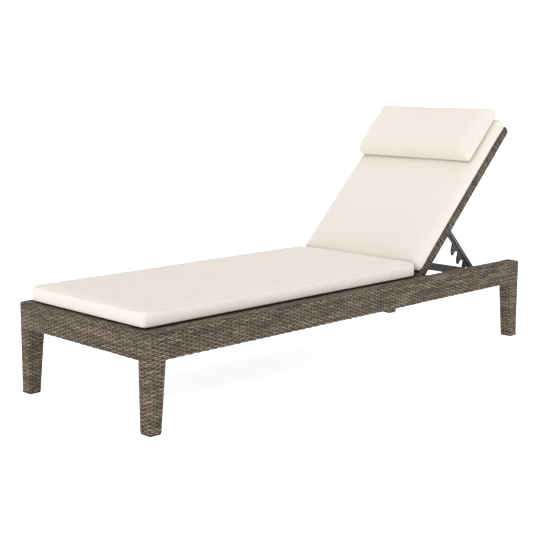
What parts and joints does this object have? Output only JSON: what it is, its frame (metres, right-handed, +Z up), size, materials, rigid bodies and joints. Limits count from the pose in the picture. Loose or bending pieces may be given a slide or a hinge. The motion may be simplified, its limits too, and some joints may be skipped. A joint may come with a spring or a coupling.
{
  "type": "reclining sun lounger",
  "caption": "Wicker-wrapped sun lounger with loose seat and back cushions, a head pillow, and a back hinged on the bed and propped by two hooked stays over a cross bar",
  "frame": {"origin": "centre of the bed at floor level, under the middle of its 2000 mm length and 706 mm width", "axes": "+X runs from the foot end to the head end, +Y to the lounger's right side seen from the head looking to the foot, +Z up"},
  "size_m": [2, 0.706, 0.9708],
  "materials": {
    "wicker": "flat woven resin wicker strands, grey-brown, satin",
    "cushion_fabric": "cream woven outdoor canvas",
    "grip_fabric": "hook and loop tape, cream",
    "glide_plastic": "black moulded plastic",
    "pad_rubber": "black rubber",
    "edge_strip": "dark brown flat edging",
    "bush_plastic": "natural nylon",
    "steel": "plated steel",
    "dark_metal": "black powder coat, satin",
    "stay_metal": "dark grey powder coat, satin",
    "frame_tube": "powder-coated aluminium tube, grey-brown"
  },
  "bodies": {
    "bed_frame": {"foot_rail_tube": "frame_tube", "foot_rail_weave": "wicker", "frame_bolts": "steel", "hinge_pin_left": "steel", "hinge_pin_right": "steel", "hinge_plate_left": "dark_metal", "hinge_plate_right": "dark_metal", "hook_bar": "dark_metal", "hook_bar_bracket_left": "dark_metal", "hook_bar_bracket_right": "dark_metal", "leg_bolts": "steel", "leg_glide_foot_left": "glide_plastic", "leg_glide_foot_right": "glide_plastic", "leg_glide_head_left": "glide_plastic", "leg_glide_head_right": "glide_plastic", "leg_tube_foot_left": "frame_tube", "leg_tube_foot_right": "frame_tube", "leg_tube_head_left": "frame_tube", "leg_tube_head_right": "frame_tube", "leg_weave_foot_left": "wicker", "leg_weave_foot_right": "wicker", "leg_weave_head_left": "wicker", "leg_weave_head_right": "wicker", "rest_pads": "pad_rubber", "seat_battens": "edge_strip", "seat_cross_tubes": "frame_tube", "seat_cushion": "cushion_fabric", "seat_deck_weave": "wicker", "side_rail_tube_left": "frame_tube", "side_rail_tube_right": "frame_tube", "side_rail_weave_left": "wicker", "side_rail_weave_right": "wicker"},
    "back": {"back_cushion": "cushion_fabric", "back_edge_strips": "edge_strip", "back_lower_tube": "frame_tube", "back_panel_weave": "wicker", "back_side_tube_left": "frame_tube", "back_side_tube_right": "frame_tube", "back_side_weave_left": "wicker", "back_side_weave_right": "wicker", "back_stay_tube": "frame_tube", "back_top_tube": "frame_tube", "back_top_weave": "wicker", "back_upper_tube": "frame_tube", "head_pillow": "cushion_fabric", "hinge_bush_left": "bush_plastic", "hinge_bush_right": "bush_plastic", "pillow_grip_strip": "grip_fabric", "stay_bracket_left": "dark_metal", "stay_bracket_right": "dark_metal", "stay_pivot_rod": "steel"},
    "stays": {"stay_bush_left": "bush_plastic", "stay_bush_right": "bush_plastic", "stay_rack_left": "dark_metal", "stay_rack_right": "dark_metal", "stay_tie_rod": "steel", "stay_tube_left": "stay_metal", "stay_tube_right": "stay_metal"}
  },
  "joints": [
    {"name": "back_recline", "type": "hinge", "parent": "bed_frame", "child": "back", "pos_m": [0.407, 0, 0.3155], "axis": [0, 1, 0], "range_deg": [0, 45]},
    {"name": "stay_fold", "type": "hinge", "parent": "back", "child": "stays", "pos_m": [0.60464, 0, 0.51314], "axis": [0, 1, 0], "range_deg": [-90, 0]}
  ],
  "couplings": [
    {"joint": "stay_fold", "follows": "back_recline", "ratio": -2}
  ]
}
